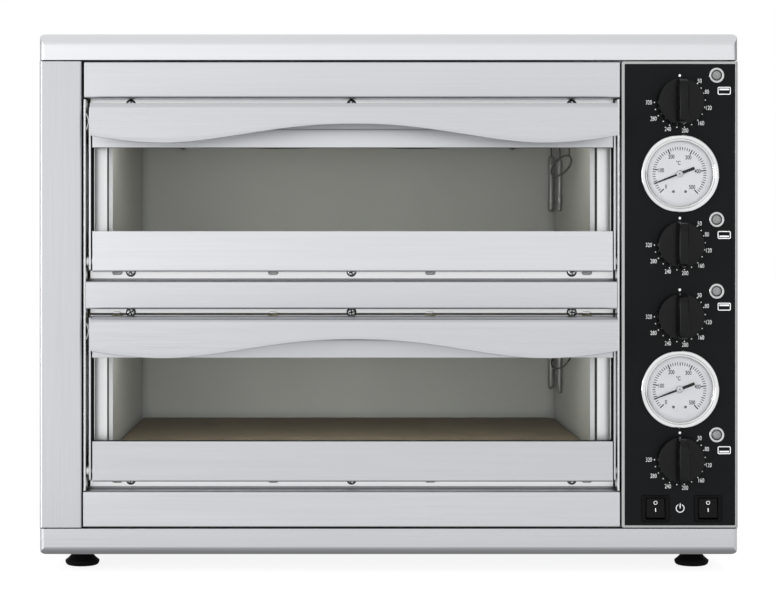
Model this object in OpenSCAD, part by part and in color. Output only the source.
// Two-deck countertop pizza oven, built from its separate pieces.
// Frame: millimetres, +X to the right as the user stands in front, the doors
// face -Y, +Z up. The origin is on the counter, under the centre of the casing.

/* [Casing] */
// Overall width of the casing
casing_w = 565; // [545:1:600]
// Depth of the casing, front face to back panel
casing_d = 470; // [465:1:520]
// Clearance under the base, which is the height of the feet
foot_h = 15.2; // [14:0.1:18]
// Height of the rounded base pan
base_h = 21.3; // [20:0.1:24]
// Height of the rounded lid
lid_h = 21.6; // [20:0.1:26]
// Bullnose radius along the lid's front and back edges
lid_r = 10; // [6:0.5:12]
// Radius along the base pan's lower edges
base_r = 6.5; // [4:0.5:8]
// Thickness of the casing sheet
sheet = 1.2; // [1:0.1:1.5]
// Width of the plain column on the left of the doors
column_w = 34.9; // [30:0.1:40]
// Width of the control panel on the right of the doors
bay_w = 94; // [92:0.1:100]

/* [Decks] */
// Height from one deck to the next
deck_pitch = 170; // [168:0.5:190]
// Height of one door opening
opening_h = 147.5; // [147.5:0.5:148]
// Height of the fascia under the lower door
bottom_fascia_h = 29.3; // [28:0.1:32]
// Height of the fascia over the upper door
top_fascia_h = 29.5; // [28:0.1:34]
// Distance of the chamber facing behind the front face
facing_set = 22; // [22:0.5:24]
// Width of the hole in the chamber facing
mouth_w = 399.2; // [380:0.2:400]
// Depth of the chamber liner
chamber_d = 357.7; // [340:0.1:380]
// Thickness of the baking stone
stone_t = 12; // [8:0.5:12]

/* [Doors] */
// Height of a door
door_h = 133.7; // [133:0.1:134]
// Depth of a door, front sheet to rear web
door_t = 14; // [13:0.5:14]
// Height of the rail under the window
low_rail_h = 32.6; // [30:0.1:34]
// Height of the rail over the window
top_rail_h = 33.3; // [30:0.1:36]
// Thickness of the window glass
glass_t = 4; // [3:0.5:4]
// Distance the handle stands in front of the door
handle_out = 47; // [40:0.5:50]
// Radius of the hinge pins
pin_r = 3; // [2.5:0.1:3.2]
// Running clearance around every shaft and pin, on the radius
run_c = 0.05; // [0.02:0.01:0.1]

/* [Controls] */
// Radius of a knob's skirt
knob_r = 18.8; // [17:0.1:20]
// Height of a knob from the faceplate to the top of its grip
knob_h = 25; // [20:0.5:28]
// Radius of a thermometer's bezel
gauge_r = 31.5; // [30.5:0.1:33]
// Radius of a pilot lamp's bezel
lamp_r = 6.2; // [5.6:0.1:7]
// Angle of the thermometer needle, clockwise from straight up
needle_deg = 249; // [226:1:360]
// Tilt of a rocker's two faces
rocker_deg = 9.6; // [8:0.1:10]

/* [Hidden] */

$fn = 48;

// Suffixes 0 and 1 mark the low and high ends of a span.
// casing faces
left = -casing_w/2;
right = casing_w/2;
front = -casing_d/2;
back = casing_d/2;

// heights of the casing; a deck's height is the floor of its door opening
base_z0 = foot_h;
base_z1 = base_z0 + base_h;
body_z0 = base_z1 + 0.9;
lower_deck = body_z0 + bottom_fascia_h;
upper_deck = lower_deck + deck_pitch;
decks = [lower_deck, upper_deck];
body_z1 = upper_deck + opening_h + 0.8 + top_fascia_h;
lid_z0 = body_z1 + 1.1;
lid_z1 = lid_z0 + lid_h;

// front layout, left to right
column_x = left + column_w;      // right edge of the column
bay_x = right - bay_w;           // left edge of the control panel
jamb_t = 1.5;
jamb_x0 = column_x + 2.5;        // inner faces of the jambs
jamb_x1 = bay_x - 3.3;
side_t = 1.5;
side_x0 = column_x + 5.2;        // outer faces of the door side plates
side_x1 = bay_x - 4.8;
rail_x0 = column_x + 8.1;        // ends of the door rails
rail_x1 = bay_x - 7.2;
handle_x0 = column_x + 10.6;
handle_x1 = bay_x - 8.5;
mid_x = (rail_x0 + rail_x1 - 1)/2;   // middle of the chambers

// ---------- shared shapes ----------
module slab(x0, x1, y0, y1, z0, z1)
  translate([x0, y0, z0]) cube([x1 - x0, y1 - y0, z1 - z0]);

module round_rect(x0, x1, y0, y1, r) union() {
  translate([x0 + r, y0]) square([x1 - x0 - 2*r, y1 - y0]);
  translate([x0, y0 + r]) square([x1 - x0, y1 - y0 - 2*r]);
  for (x = [x0 + r, x1 - r], y = [y0 + r, y1 - r]) translate([x, y]) circle(r = r);
}

// a profile drawn in the other two axes, pulled along the named one
module pull_x(x0, x1)
  translate([x0, 0, 0]) rotate([90, 0, 90]) linear_extrude(x1 - x0) children();
module pull_y(y0, y1)
  translate([0, y1, 0]) rotate([90, 0, 0]) linear_extrude(y1 - y0) children();
module pull_z(z0, z1) translate([0, 0, z0]) linear_extrude(z1 - z0) children();

// round bars along each axis
module rod_x(r, y, z, x0, x1)
  translate([x0, y, z]) rotate([0, 90, 0]) cylinder(r = r, h = x1 - x0);
module rod_y(r, x, z, y0, y1)
  translate([x, y0, z]) rotate([-90, 0, 0]) cylinder(r = r, h = y1 - y0);
module rod_z(r, x, y, z0, z1) translate([x, y, z0]) cylinder(r = r, h = z1 - z0);

// profile of [radius, height], turned about an axis that points to -Y
module turned_y(x, y, z) translate([x, y, z]) rotate([90, 0, 0]) rotate_extrude() children();

// pan-head screw, underside of the head at the origin, head towards +Z
module pan_screw(shank) rotate_extrude() polygon([[0, -shank], [1.4, -shank],
  [1.9, -shank + 1], [1.9, 0], [4, 0], [4, 1], [3.7, 1.7], [2.9, 2.3], [1.6, 2.6], [0, 2.65]]);

// ---------- casing ----------
pan_t = 1.5;                     // base pan sheet
foot_x = casing_w/2 - 29.3;
foot_y = casing_d/2 - 54;
stud_r = 4;                      // stud on top of a foot
post_inset = 2.5;                // corner posts inside the casing faces
post_w = 15;
post_t = 1.5;
// posts: [side, near Y]; side is -1 for left and 1 for right
posts = [[-1, front + 30], [1, front + 30],
  [-1, back - post_inset - post_w], [1, back - post_inset - post_w]];
casing_hole_r = 2.05;
lid_screw_z = lid_z0 + 9;
side_screw_z = [body_z0 + 12, body_z0 + 190, body_z1 - 12];
// back panel screws: [x, z]
back_screws = [for (x = [left + 12, -95, 95, right - 12], z = [body_z0 + 8, body_z1 - 8]) [x, z]];
vent_pitch = 12;
gland_x = right - 50;
gland_z = body_z0 + 62;

// base pan shape, drawn in by inset from its outer faces
module pan_form(inset) intersection() {
  pull_z(base_z0 + inset, base_z1 + (inset > 0 ? 5 : 0))
    round_rect(left + inset, right - inset, front + inset, back - inset, 4 - inset);
  pull_x(left, right)
    round_rect(front + inset, back - inset, base_z0 + inset, base_z1 + 30, base_r - inset);
  pull_y(front, back)
    round_rect(left + inset, right - inset, base_z0 + inset, base_z1 + 30, 5.5 - inset);
}
module base_pan() color("gainsboro") difference() {
  union() {
    difference() {
      pan_form(0);
      pan_form(pan_t);
    }
    for (a = [-1, 1], b = [-1, 1]) rod_z(9, a*foot_x, b*foot_y, base_z0 + 1, base_z0 + 8.5);
  }
  for (a = [-1, 1], b = [-1, 1])
    rod_z(stud_r + run_c, a*foot_x, b*foot_y, base_z0 - 1, base_z0 + 9);
}

module lid_form(inset) intersection() {
  pull_z(lid_z0 - (inset > 0 ? 5 : 0), lid_z1 - inset)
    round_rect(left + inset, right - inset, front + inset, back - inset, 4 - inset);
  pull_x(left, right)
    round_rect(front + inset, back - inset, lid_z0 - 30, lid_z1 - inset, lid_r - inset);
  pull_y(front, back)
    round_rect(left + inset, right - inset, lid_z0 - 30, lid_z1 - inset, 4.5 - inset);
}
module lid_cover() color("whitesmoke") difference() {
  lid_form(0);
  lid_form(sheet);
  casing_holes(lid_screw_z);
}

// screw holes through the left and right faces into the posts
module casing_holes(z) for (post = posts) {
  x0 = post[0] > 0 ? right - 6 : left - 1;
  rod_x(casing_hole_r, post[1] + post_w/2, z, x0, x0 + 7);
}
module vent(a0, a1, z) round_rect(a0, a1, z, z + 4, 1.99);

module left_side_panel() color("lightgray") difference() {
  pull_z(body_z0, body_z1) difference() {
    union() {
      round_rect(left, left + 20, front, back, 2.5);
      round_rect(left, column_x, front, front + 20, 2.5);
    }
    round_rect(left + sheet, column_x - sheet, front + sheet, back + 40, 1.3);
    translate([left + sheet, front + 20]) square([60, casing_d]);
  }
  for (z = side_screw_z) casing_holes(z);
}
module right_side_panel() color("lightgray") difference() {
  slab(right - sheet, right, front + 0.5, back, body_z0, body_z1);
  for (z = side_screw_z) casing_holes(z);
  for (z = [40, 222], i = [0:9], y = [95, 150])
    pull_x(right - 3, right + 1) vent(y, y + 42, body_z0 + z + i*vent_pitch);
}
module back_panel() color("silver") difference() {
  slab(left + sheet + 0.1, right - sheet - 0.1, back - sheet, back, body_z0, body_z1);
  rod_y(8.1, gland_x, gland_z, back - 3, back + 1);
  for (s = back_screws) rod_y(casing_hole_r, s[0], s[1], back - 3, back + 1);
  for (i = [0:7]) pull_y(back - 3, back + 1)
    vent(gland_x - 28, gland_x + 28, body_z0 + 250 + i*vent_pitch);
}

// angle posts, one leg along X and one along Y
module chassis_posts() color("darkgray") difference() {
  for (post = posts) {
    y0 = post[1];
    x0 = post[0] > 0 ? right - post_inset - post_w : left + post_inset;
    leg_x = post[0] > 0 ? right - post_inset - post_t : x0;
    leg_y = y0 < 0 ? y0 : y0 + post_w - post_t;
    slab(x0, x0 + post_w, leg_y, leg_y + post_t, base_z1 - 14, lid_z1 - 7.5);
    slab(leg_x, leg_x + post_t, y0, y0 + post_w, base_z1 - 14, lid_z1 - 7.5);
  }
  casing_holes(lid_screw_z);
  for (z = side_screw_z) casing_holes(z);
  for (s = back_screws) if (abs(s[0]) > 200) rod_y(casing_hole_r, s[0], s[1], back - 6, back);
}

// ---------- fascias and jambs ----------
channel_y1 = front + facing_set - 0.4;
// height and distance behind the front of the hinge pin line, above the deck
pin_z = 16.1;
pin_y = front + 7;

// fascia channel, open to the rear
module channel(x0, x1, z0, z1) pull_x(x0, x1) intersection() {
  difference() {
    round_rect(front, front + 60, z0, z1, 1.6);
    round_rect(front + sheet, front + 80, z0 + sheet, z1 - sheet, 0.4);
  }
  translate([front, z0]) square([channel_y1 - front, z1 - z0]);
}
// low upstand at the rear of a channel's top, against the chamber facing
module upstand(z)
  slab(jamb_x0 + 0.2, jamb_x1 - 0.3, channel_y1 - 1.2, channel_y1, z - 0.8, z + 1.9);

module top_fascia() color("gainsboro")
  channel(column_x + 1.4, bay_x - 1.5, body_z1 - top_fascia_h, body_z1 - 0.1);
module middle_fascia() color("gainsboro") {
  channel(jamb_x0 + 0.2, jamb_x1 - 0.3, lower_deck + opening_h, upper_deck);
  upstand(upper_deck);
}
module bottom_fascia() color("gainsboro") {
  channel(column_x + 0.6, bay_x - 1.5, body_z0, lower_deck);
  upstand(lower_deck);
}
module door_jambs() color("silver") difference() {
  for (x = [jamb_x0 - jamb_t, jamb_x1])
    slab(x, x + jamb_t, front + 0.4, front + 45, lower_deck + 0.5, upper_deck + opening_h - 0.4);
  for (deck = decks)
    rod_x(pin_r + 0.02, pin_y, deck + pin_z, jamb_x0 - jamb_t - 5, jamb_x1 + jamb_t + 5);
}

// ---------- chambers ----------
// heights named in this section are above the deck
facing_y0 = front + facing_set;
facing_y1 = facing_y0 + sheet;
facing_split = lower_deck + 142.5;   // the two facings meet on the line of the upper screws
facing_hole_r = 2;
facing_screw_x = [mid_x - 180.6, mid_x - 0.2, mid_x + 179.9];
facing_slot_x = [mid_x - 191.7, mid_x - 64.2, mid_x + 64.4, mid_x + 192.4];
facing_screw_z = [7.2, 142.4];
mouth_x0 = mid_x - mouth_w/2 + 0.2;  // inner sides of the chambers
mouth_x1 = mid_x + mouth_w/2 + 0.2;
liner_t = 1;
liner_y0 = facing_y1 + 0.1;
liner_y1 = liner_y0 + chamber_d;
liner_z0 = 0.3;
liner_z1 = liner_z0 + 134;
element_r = 3.25;
leg_pitch = 64;
leg_x = [for (i = [0:5]) mid_x - 2.5*leg_pitch + i*leg_pitch];
top_element_z = 124.3;
low_element_z = 9.6;
tube_z = 122;                    // sensor tubes run at this height
tube_exit_y = 20;                // and leave through the right side here

module facing(deck, z0, z1) color("lightgray") difference() {
  slab(jamb_x0 + 1.7, jamb_x1 - 1, facing_y0, facing_y1, z0, z1);
  pull_y(facing_y0 - 1, facing_y1 + 1)
    round_rect(mouth_x0 - 0.6, mouth_x1 + 0.9, deck + 17.3, deck + 132.3, 3);
  for (d = decks, x = facing_screw_x, s = facing_screw_z)
    rod_y(facing_hole_r, x, d + s, facing_y0 - 1, facing_y1 + 1);
  for (d = decks, x = facing_slot_x, s = facing_screw_z) pull_y(facing_y0 - 1, facing_y1 + 1)
    round_rect(x - 4.2, x + 4.2, d + s - 2.4, d + s + 1.7, 2.04);
}
module upper_chamber_facing() facing(upper_deck, facing_split + 0.6, upper_deck + 162);
module lower_chamber_facing() facing(lower_deck, lower_deck - 14, facing_split);

// box open at the front, with a ledge for the stone on each side
module liner(deck) color("darkgray") difference() {
  union() {
    difference() {
      slab(mouth_x0 - liner_t, mouth_x1 + liner_t, liner_y0, liner_y1,
        deck + liner_z0, deck + liner_z1);
      slab(mouth_x0, mouth_x1, liner_y0 + liner_t, liner_y1 - liner_t,
        deck + liner_z0 + liner_t, deck + liner_z1 - liner_t);
      pull_y(liner_y0 - 1, liner_y0 + liner_t + 1)
        round_rect(mouth_x0 + 4, mouth_x1 - 4.8, deck + 21.3, deck + 128.3, 3);
    }
    for (x = [mouth_x0 - 0.5, mouth_x1 - 9.5])
      slab(x, x + 10, liner_y0 + 14, liner_y1 - 4, deck + 17.8, deck + 19.8);
  }
  for (x = facing_screw_x)
    rod_y(facing_hole_r, x, deck + facing_screw_z[0], liner_y0 - 1, liner_y0 + 3);
  for (x = [leg_x[0], leg_x[5]], z = [low_element_z, top_element_z])
    rod_y(3.6, x, deck + z, liner_y1 - 3, liner_y1 + 1);
  rod_x(2, tube_exit_y, deck + tube_z, mouth_x1 - 1, mouth_x1 + 3);
}
module upper_chamber_liner() liner(upper_deck);
module lower_chamber_liner() liner(lower_deck);

module stone(deck) color("burlywood") slab(mouth_x0 + 1, mouth_x1 - 1,
  liner_y0 + 13, liner_y1 - 6, deck + 19.9, deck + 19.9 + stone_t);
module upper_baking_stone() stone(upper_deck);
module lower_baking_stone() stone(lower_deck);

// six legs joined by half-turn bends; the outer two legs pass out of the rear
module element(z) {
  near_y = liner_y0 + 42;
  far_y = liner_y1 - 52;
  for (i = [0:5])
    rod_y(element_r, leg_x[i], z, near_y, (i == 0 || i == 5) ? liner_y1 + 12 : far_y);
  for (i = [0:4]) {
    near = i % 2 == 0;
    translate([leg_x[i] + leg_pitch/2, near ? near_y : far_y, z]) rotate(near ? 180 : 0)
      rotate_extrude(angle = 180) translate([leg_pitch/2, 0]) circle(r = element_r);
  }
}
module top_heating_elements() color("dimgray") for (deck = decks) element(deck + top_element_z);
module bottom_heating_elements() color("dimgray")
  for (deck = decks) element(deck + low_element_z);

module insulation_slabs() color("wheat") {
  x0 = mouth_x0 - 1;
  x1 = mouth_x1 + 1;
  y0 = liner_y0 + 9;
  y1 = liner_y1 - 5;
  z0 = body_z0 + 2;
  z1 = upper_deck + liner_z1 + 31;
  // under, between and over the chambers
  slab(x0, x1, y0, y1, z0, lower_deck - 1);
  slab(x0, x1, y0, y1, lower_deck + liner_z1 + 1, upper_deck + liner_z0 - 1);
  slab(x0, x1, y0, y1, upper_deck + liner_z1 + 1, z1);
  // left of the chambers, starting behind the jamb
  slab(left + 20, mouth_x0 - 2, front + 47, y1, z0, z1);
  // behind the chambers
  slab(x0, x1, liner_y1 + 17, back - 8, z0, z1);
}
module heat_shield() color("silver") difference() {
  slab(mouth_x1 + 6, mouth_x1 + 7.2, liner_y0 + 3, back - 6, body_z0 + 1, body_z1 - 6);
  for (deck = decks) rod_x(2.5, tube_exit_y, deck + tube_z, mouth_x1 + 4, mouth_x1 + 9);
}

// ---------- sensors ----------
rear_bulb_r = 3.3;
rear_bulb_x = mouth_x1 - 4.6;
rear_bulb_y = 122;
front_bulb_r = 1.9;
front_bulb_x = mouth_x1 - 2.7;
front_bulb_y = 60;
tube_r = 0.9;
run_x = mouth_x1 - 6.1;          // tube running along Y
spare_y = -60;                   // spare tube at its front end

// ring around a bulb with a tab to the chamber's right side
module strap(x, y, r, z) difference() {
  union() {
    rod_z(r + 0.45, x, y, z, z + 6);
    slab(x, mouth_x1 - 0.1, y - 1.6, y + 1.6, z, z + 6);
  }
  rod_z(r + 0.05, x, y, z - 1, z + 7);
}
module sensor_guards() color("silver") for (deck = decks) {
  for (z = [66, 98]) {
    strap(rear_bulb_x, rear_bulb_y, rear_bulb_r, deck + z);
    strap(front_bulb_x, front_bulb_y, front_bulb_r, deck + z);
  }
  slab(mouth_x1 - 14, mouth_x1 - 0.1, 40, 52, deck + 126, deck + 127.2);
}
module sensor_bulbs() color("tan") for (deck = decks) {
  z = deck + tube_z;
  rod_z(rear_bulb_r, rear_bulb_x, rear_bulb_y, deck + 58, deck + 112);
  rod_z(tube_r, rear_bulb_x, rear_bulb_y, deck + 111, z);
  rod_x(tube_r, rear_bulb_y, z, run_x - 0.6, rear_bulb_x + 0.6);
  rod_z(front_bulb_r, front_bulb_x, front_bulb_y, deck + 58, deck + 107);
  rod_z(tube_r, front_bulb_x, front_bulb_y, deck + 106, z);
  rod_x(tube_r, front_bulb_y, z, run_x, mouth_x1 - 2.1);
  rod_y(tube_r, run_x, z, spare_y - 0.6, rear_bulb_y + 0.6);
  rod_x(tube_r, tube_exit_y, z, run_x, mouth_x1 + 30);
  // spare length wound in a ring
  rod_z(tube_r, run_x, spare_y, deck + 105.2, z + 0.6);
  translate([run_x - 7.1, spare_y, deck + 97]) rotate([0, -50, 0]) rotate([30, 0, 0])
    rotate_extrude() translate([11, 0]) circle(r = tube_r);
}

// ---------- control bay ----------
dial_x = right - 47;
// top and bottom dial of the upper deck, then of the lower deck
dial_z = [body_z0 + 344.2, body_z0 + 228.9, body_z0 + 170.9, body_z0 + 55.3];
gauge_z = [body_z0 + 286.2, body_z0 + 111.8];
lamp_x = right - 17.3;
lamp_z = [body_z0 + 365.8, body_z0 + 249.2, body_z0 + 191.2, body_z0 + 75.1];
rocker_x = [right - 66.7, right - 24.2];
rocker_z = body_z0 + 15.5;
pivot_y = front + 1.8;           // rocker pivot line
faceplate_t = 0.75;
shaft_r = 3;
gauge_case_r = 30;
lamp_barrel_r = 5;
housing_w = 19.6;                // switch housing behind its flange
housing_h = 18.8;
needle_pin_r = 0.9;
rocker_pin_r = 1;

module panel_holes(gap) {
  y0 = front - 2;
  y1 = front + 4;
  for (z = dial_z) rod_y(4, dial_x, z, y0, y1);
  for (z = gauge_z) rod_y(gauge_case_r + gap, dial_x, z, y0, y1);
  for (z = lamp_z) rod_y(lamp_barrel_r + gap, lamp_x, z, y0, y1);
  for (x = rocker_x) slab(x - housing_w/2 - gap, x + housing_w/2 + gap, y0, y1,
    rocker_z - housing_h/2 - gap, rocker_z + housing_h/2 + gap);
}
module control_panel_frame() color("gainsboro") difference() {
  union() {
    pull_y(front, front + 2)
      round_rect(bay_x, right - sheet - 0.1, body_z0, body_z1 - 0.1, 1.6);
    slab(bay_x, bay_x + sheet, front + 1, front + 14, body_z0 + 1.7, body_z1 - 1.8);
    for (z = [body_z0, body_z1 - 0.1 - sheet])
      slab(bay_x + 1.6, right - 6, front + 1, front + 14, z, z + sheet);
  }
  pull_y(front - 1, front + 0.8)
    round_rect(bay_x + 2.4, right - 2.2, body_z0 + 1.8, body_z1 - 2.1, 0.8);
  panel_holes(0.2);
}
module control_faceplate() color("#1c1c1e") difference() {
  pull_y(front, front + faceplate_t)
    round_rect(bay_x + 2.5, right - 2.3, body_z0 + 1.9, body_z1 - 2.2, 0.7);
  panel_holes(0.1);
}

module thermostat_bodies() color("tan") for (z = dial_z) difference() {
  union() {
    rod_y(8, dial_x, z, front + 2.1, front + 8);
    slab(dial_x - 20, dial_x + 20, front + 7, front + 34, z - 17, z + 17);
    for (x = [dial_x - 12, dial_x + 12])
      slab(x - 3, x + 3, front + 33, front + 42, z - 0.4, z + 0.4);
  }
  rod_y(shaft_r + run_c, dial_x, z, front, front + 24);
}

// skirt and upright grip, with the shaft
module knob(z) color("#161616") {
  difference() {
    union() {
      turned_y(dial_x, front - 0.6, z) polygon([[0, 0], [knob_r, 0], [knob_r, 1.6],
        [knob_r - 0.6, 2.4], [knob_r - 1.2, 2.6], [knob_r - 2.4, 9.4],
        [knob_r - 3.4, 10.4], [0, 10.8]]);
      intersection() {
        slab(dial_x - 4.6, dial_x + 4.6, front - knob_h, front - 6, z - knob_r, z + knob_r);
        turned_y(dial_x, front - 0.6, z) polygon([[0, 3], [knob_r - 1.4, 3], [knob_r - 1.6, 9],
          [knob_r - 3, knob_h - 3], [knob_r - 5, knob_h - 0.7], [0, knob_h]]);
      }
    }
    rod_y(shaft_r + run_c, dial_x, z, front - 14, front);
  }
  rod_y(shaft_r, dial_x, z, front - 13.5, front + 23.5);
}
module upper_deck_top_knob() knob(dial_z[0]);
module upper_deck_bottom_knob() knob(dial_z[1]);
module lower_deck_top_knob() knob(dial_z[2]);
module lower_deck_bottom_knob() knob(dial_z[3]);

module pilot_lamp_bezels() color("gray") for (z = lamp_z) difference() {
  turned_y(lamp_x, front + 17, z) polygon([[0, 0], [lamp_barrel_r, 0], [lamp_barrel_r, 17.05],
    [lamp_r, 17.05], [lamp_r, 17.6], [lamp_r - 0.7, 18.3], [0, 18.3]]);
  rod_y(4.55, lamp_x, z, front - 3, front + 14);
}
module pilot_lamp_lenses() color("silver") for (z = lamp_z)
  turned_y(lamp_x, front + 13.9, z) polygon([[0, 0], [4.5, 0], [4.5, 14.6], [4.1, 15.4],
    [3.2, 16], [1.6, 16.4], [0, 16.5]]);

module needle_bore(z) rod_y(needle_pin_r + run_c, dial_x, z, front, front + 12);
module thermometer_cases() color("silver") for (z = gauge_z) difference() {
  turned_y(dial_x, front + 15, z) polygon([[0, 0], [gauge_case_r, 0], [gauge_case_r, 15.05],
    [gauge_r, 15.05], [gauge_r, 16.4], [gauge_r - 0.7, 17.8], [gauge_r - 2, 18.4],
    [gauge_r - 3.5, 18.4], [gauge_r - 4, 18.1], [0, 18.1]]);
  // hollow around a centre boss
  difference() {
    rod_y(29, dial_x, z, front - 1.9, front + 13.8);
    rod_y(5, dial_x, z, front + 3, front + 14);
  }
  rod_y(27.4, dial_x, z, front - 5, front);
  needle_bore(z);
}
module thermometer_dials() color("white") for (z = gauge_z) difference() {
  rod_y(28.8, dial_x, z, front + 1.9, front + 2.7);
  needle_bore(z);
}
module thermometer_lenses() color([0.9, 0.95, 1, 0.3]) for (z = gauge_z)
  rod_y(28.8, dial_x, z, front - 1.85, front - 0.5);

module needle(z) color("black") translate([dial_x, 0, z]) rotate([0, needle_deg, 0]) {
  pull_y(front + 0.7, front + 1.2) union() {
    polygon([[-0.9, 0], [-0.25, 23.5], [0.25, 23.5], [0.9, 0]]);
    polygon([[-0.9, 0], [-1.5, -4], [-1.5, -13], [1.5, -13], [1.5, -4], [0.9, 0]]);
  }
  rod_y(2.2, 0, 0, front + 0.1, front + 1.5);
  rod_y(needle_pin_r, 0, 0, front + 0.5, front + 11.5);
}
module upper_thermometer_needle() needle(gauge_z[0]);
module lower_thermometer_needle() needle(gauge_z[1]);

module switch_housings() color("#1a1a1a") for (x = rocker_x) difference() {
  union() {
    pull_y(front - 1.5, front - 0.05)
      round_rect(x - 11.25, x + 11.25, rocker_z - 10.75, rocker_z + 10.75, 1.2);
    slab(x - housing_w/2, x + housing_w/2, front - 0.5, front + 22,
      rocker_z - housing_h/2, rocker_z + housing_h/2);
    for (z = [rocker_z - 5, rocker_z + 5])
      slab(x - 3, x + 3, front + 21, front + 30, z - 0.4, z + 0.4);
  }
  slab(x - 7.8, x + 7.8, front - 3, front + 9, rocker_z - 8.5, rocker_z + 8.5);
  rod_x(rocker_pin_r + run_c, pivot_y, rocker_z, x - 9, x + 9);
}
module rocker(x) color("#101010") translate([0, pivot_y, rocker_z]) rotate([-rocker_deg, 0, 0]) {
  pull_x(x - 7.5, x + 7.5) polygon([[-3.4, 7.8], [-2.9, 5.2], [-2.1, 0], [-2.9, -5.2],
    [-3.4, -7.8], [2.6, -7], [4.8, -3], [4.8, 3], [2.6, 7]]);
  rod_x(rocker_pin_r, 0, 0, x - 8.8, x + 8.8);
}
module left_rocker() rocker(rocker_x[0]);
module right_rocker() rocker(rocker_x[1]);

module terminal_block() color("ivory") difference() {
  slab(gland_x - 30, gland_x + 30, back - 23, back - sheet - 0.1, body_z0 + 8, body_z0 + 33);
  for (i = [-2:2]) rod_y(2.5, gland_x + i*11, body_z0 + 20, back - 24, back - 12);
}
// upright trunk with a branch to each control and one to the terminal block
module wiring_harness() color("firebrick") {
  trunk_y = -120;
  wire_r = 1.6;
  rod_z(4, dial_x, trunk_y, rocker_z - 4, dial_z[0] + 4);
  for (z = dial_z) rod_y(wire_r, dial_x, z, front + 42.2, trunk_y);
  for (x = rocker_x) {
    rod_x(wire_r, trunk_y, rocker_z, min(x, dial_x), max(x, dial_x));
    rod_y(wire_r, x, rocker_z, front + 30.2, trunk_y + 1.2);
  }
  rod_y(2.6, dial_x, body_z0 + 20, trunk_y, back - 24);
}

// ---------- cable ----------
cord_r = 4;
coil_r = 70;
coil_x = gland_x - 112;
coil_y = back + handle_out - cord_r;   // rearmost turn
coil_pitch = 7.4;

module cable_gland() color("#202020") difference() {
  union() {
    rod_y(8, gland_x, gland_z, back - 9, back + 1);
    translate([gland_x, back + 0.05, gland_z]) rotate([-90, 0, 0])
      cylinder(r = 11, h = 6, $fn = 6);
    rod_y(9, gland_x, gland_z, back + 5.5, back + 14);
  }
  rod_y(cord_r + 0.1, gland_x, gland_z, back - 20, back + 20);
}
module cord_arc(y, start, sweep)
  translate([coil_x, y, gland_z + coil_r]) rotate([-90, 0, 0]) rotate(start)
    rotate_extrude(angle = sweep) translate([coil_r, 0]) circle(r = cord_r);
module power_cord() color("#151515") {
  bend_y = back + 17;
  bend_r = coil_y - bend_y;
  plug_x = coil_x - coil_r;
  plug_y = coil_y - 2*coil_pitch;
  // out of the gland and round to the coil
  rod_z(cord_r, gland_x, back - 14, body_z0 + 36, gland_z + cord_r);
  rod_y(cord_r, gland_x, gland_z, back - 14, bend_y);
  translate([gland_x - bend_r, bend_y, gland_z]) rotate_extrude(angle = 90)
    translate([bend_r, 0]) circle(r = cord_r);
  rod_x(cord_r, coil_y, gland_z, coil_x, gland_x - bend_r);
  cord_arc(coil_y, 90, 330);
  for (i = [1, 2]) cord_arc(coil_y - i*coil_pitch, 180, 330);
  // plug hanging from the last turn, with two pins
  rod_z(cord_r, plug_x, plug_y, gland_z + 20, gland_z + coil_r);
  translate([plug_x, plug_y, gland_z - 38]) rotate_extrude() polygon([[0, 0], [16, 0],
    [17, 1.5], [17, 26], [15, 40], [8, 48], [6, 60], [0, 60]]);
  for (s = [-9.5, 9.5]) rod_z(2.4, plug_x + s, plug_y, gland_z - 57, gland_z - 37);
}

// ---------- fasteners ----------
module facing_screws() color("silver")
  for (deck = decks, x = facing_screw_x, z = facing_screw_z)
    translate([x, facing_y0 - 0.05, deck + z]) rotate([90, 0, 0]) pan_screw(7);
module casing_screws() color("silver") {
  for (post = posts, z = concat(side_screw_z, [lid_screw_z]))
    translate([post[0] > 0 ? right + 0.05 : left - 0.05, post[1] + post_w/2, z])
      rotate([0, post[0]*90, 0]) pan_screw(4.8);
  for (s = back_screws) translate([s[0], back + 0.05, s[1]]) rotate([-90, 0, 0]) pan_screw(3.4);
}

// ---------- doors ----------
// heights are above the deck
door_z0 = 7.8;
door_z1 = door_z0 + door_h;
door_y1 = front + door_t;
window_z0 = door_z0 + low_rail_h;
window_z1 = door_z1 - top_rail_h;
glass_y0 = front + 5;
glass_y1 = glass_y0 + glass_t;
glass_lap = 10;                  // glass hidden behind each rail
collar_r = 4.5;                  // hinge pin collar

module door_catch_springs() color("silver")
  for (deck = decks, x = [[jamb_x0 + 0.05, jamb_x0 + 2.4], [jamb_x1 - 1.3, jamb_x1 - 0.05]])
    pull_x(x[0], x[1]) round_rect(front + 3, front + 13, deck + 121, deck + 134, 2);
module door_hinge_pins() color("silver") for (deck = decks) {
  z = deck + pin_z;
  rod_x(pin_r, pin_y, z, jamb_x0 - jamb_t - 0.5, side_x0 + side_t + 0.8);
  rod_x(collar_r, pin_y, z, jamb_x0 + 0.1, side_x0 - 0.3);
  rod_x(pin_r, pin_y, z, side_x1 - side_t - 0.8, jamb_x1 + jamb_t + 0.5);
  rod_x(collar_r, pin_y, z, side_x1 + 0.2, jamb_x1 - 0.1);
}

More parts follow.
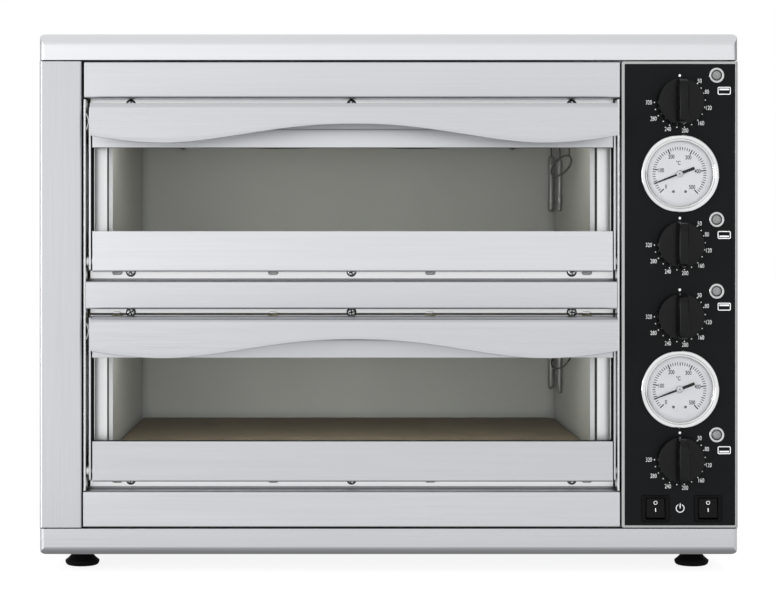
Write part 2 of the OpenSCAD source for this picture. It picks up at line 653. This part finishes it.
// rounded tube section with a hollow, cut to the height of one rail;
// outer and hollow are Z spans
module door_rail(outer, hollow, z0, height) pull_x(rail_x0, rail_x1) intersection() {
  difference() {
    round_rect(front, door_y1, outer[0], outer[1], 1.6);
    round_rect(front + sheet, door_y1 - sheet, hollow[0], hollow[1], 0.4);
  }
  translate([front, z0]) square([door_t, height]);
}
module door_frame(deck) color("lightgray") difference() {
  z0 = deck + door_z0;
  z1 = deck + door_z1;
  union() {
    door_rail([z0, deck + 90], [z0 + sheet, deck + 100], z0, low_rail_h);
    door_rail([deck + 60, z1], [deck + 50, z1 - sheet], z1 - top_rail_h, top_rail_h);
    // rear webs reaching to the side plates
    slab(side_x0 + 1, side_x1 - 1, door_y1 - sheet, door_y1, z0 + 2, z0 + low_rail_h);
    slab(side_x0 + 1, side_x1 - 1, door_y1 - sheet, door_y1, z1 - top_rail_h, z1 - 2);
    for (x = [side_x0, side_x1 - side_t])
      pull_x(x, x + side_t) round_rect(front + 0.6, door_y1, z0 + 0.5, z1 - 0.2, 2);
  }
  for (x = [[side_x0 - 5, side_x0 + side_t + 1], [side_x1 - side_t - 1, side_x1 + 5]])
    rod_x(pin_r + run_c, pin_y, deck + pin_z, x[0], x[1]);
}
module door_glass(deck) color([0.8, 0.85, 0.85, 0.25])
  slab(rail_x0 + 1, rail_x1 - 1, glass_y0, glass_y1,
    deck + window_z0 - glass_lap, deck + window_z1 + glass_lap);

// strip inside a rail, grooved for the glass; bar and groove are Z spans
module rail_seal(bar, groove) difference() {
  slab(rail_x0 + 1.5, rail_x1 - 1.5, front + sheet + 0.1, door_y1 - sheet - 0.1, bar[0], bar[1]);
  slab(rail_x0, rail_x1, glass_y0 - 0.05, glass_y1 + 0.05, groove[0], groove[1]);
}
module door_seals(deck) color("dimgray") {
  z0 = deck + window_z0;
  z1 = deck + window_z1;
  rail_seal([z0 - 15, z0 - 6], [z0 - glass_lap - 0.05, z0]);
  rail_seal([z1 + 6, z1 + 15], [z1, z1 + glass_lap + 0.05]);
  // upright strips between the glass and the side plates
  for (x = [[side_x0 + side_t + 0.1, rail_x0 + 0.9], [rail_x1 - 0.9, side_x1 - side_t - 0.1]])
    slab(x[0], x[1], glass_y0 - 1.5, glass_y1 + 1.5, z0 + 0.1, z1 - 0.1);
}

// lower edge of the handle: a shallow arch in the middle, dipping either side;
// u runs from -1 to 1 along the handle
dip_u = 0.72;
function wave(u) = let (a = abs(u)) a <= dip_u
  ? let (t = pow(a/dip_u, 1.17)) 122.9 - 14.9*t*t*(3 - 2*t)
  : 108 + 5.8*pow((a - dip_u)/(1 - dip_u), 1.9);
module door_handle(deck) color("whitesmoke") intersection() {
  pull_x(handle_x0, handle_x1) difference() {
    union() {
      round_rect(front - handle_out, front - 0.05, deck + 60, deck + door_z1, 4);
      translate([front - 12, deck + 60]) square([11.95, door_z1 - 60]);
    }
    union() {
      round_rect(front - handle_out + 1.5, front - 1.55, deck + 50, deck + door_z1 - 1.5, 2.5);
      translate([front - 12, deck + 50]) square([10.45, door_z1 - 51.5]);
    }
    translate([front - 12, deck]) square([13, 121]);
  }
  pull_y(front - handle_out - 1, front + 1) polygon(concat(
    [for (i = [-32:32])
      [(handle_x0 + handle_x1)/2 + i/32*(handle_x1 - handle_x0)/2, deck + wave(i/32)]],
    [[handle_x1, deck + door_z1 + 5], [handle_x0, deck + door_z1 + 5]]));
}
module upper_door_frame() door_frame(upper_deck);
module lower_door_frame() door_frame(lower_deck);
module upper_door_glass() door_glass(upper_deck);
module lower_door_glass() door_glass(lower_deck);
module upper_door_seals() door_seals(upper_deck);
module lower_door_seals() door_seals(lower_deck);
module upper_door_handle() door_handle(upper_deck);
module lower_door_handle() door_handle(lower_deck);

// ---------- feet ----------
// [radius, height] up the flared side, s from 0 to 1
function flare(s) = [7.2 + 6.9*pow(1 - s, 1.8), 4.6 + (foot_h - 6.2)*s];
module foot(a, b) color("#0c0c0c") translate([a*foot_x, b*foot_y, 0]) rotate_extrude()
  polygon(concat([[0, 0], [10.8, 0], [12.5, 0.6], [13.6, 1.8], [14.1, 3.2]],
    [for (i = [0:9]) flare(i/9)],
    [[7.2, foot_h - 0.1], [stud_r, foot_h - 0.1], [stud_r, foot_h + 15],
      [3.2, foot_h + 16], [0, foot_h + 16]]));
module foot_front_left() foot(-1, -1);
module foot_front_right() foot(1, -1);
module foot_rear_left() foot(-1, 1);
module foot_rear_right() foot(1, 1);

base_pan();
lid_cover();
left_side_panel();
right_side_panel();
back_panel();
chassis_posts();
top_fascia();
middle_fascia();
bottom_fascia();
door_jambs();
control_panel_frame();
control_faceplate();
upper_chamber_liner();
lower_chamber_liner();
upper_chamber_facing();
lower_chamber_facing();
upper_baking_stone();
lower_baking_stone();
top_heating_elements();
bottom_heating_elements();
insulation_slabs();
heat_shield();
thermostat_bodies();
sensor_bulbs();
sensor_guards();
pilot_lamp_bezels();
pilot_lamp_lenses();
thermometer_cases();
thermometer_dials();
thermometer_lenses();
switch_housings();
terminal_block();
cable_gland();
power_cord();
wiring_harness();
facing_screws();
casing_screws();
door_catch_springs();
door_hinge_pins();
upper_door_frame();
upper_door_glass();
upper_door_seals();
upper_door_handle();
lower_door_frame();
lower_door_glass();
lower_door_seals();
lower_door_handle();
upper_deck_top_knob();
upper_deck_bottom_knob();
lower_deck_top_knob();
lower_deck_bottom_knob();
left_rocker();
right_rocker();
upper_thermometer_needle();
lower_thermometer_needle();
foot_front_left();
foot_front_right();
foot_rear_left();
foot_rear_right();
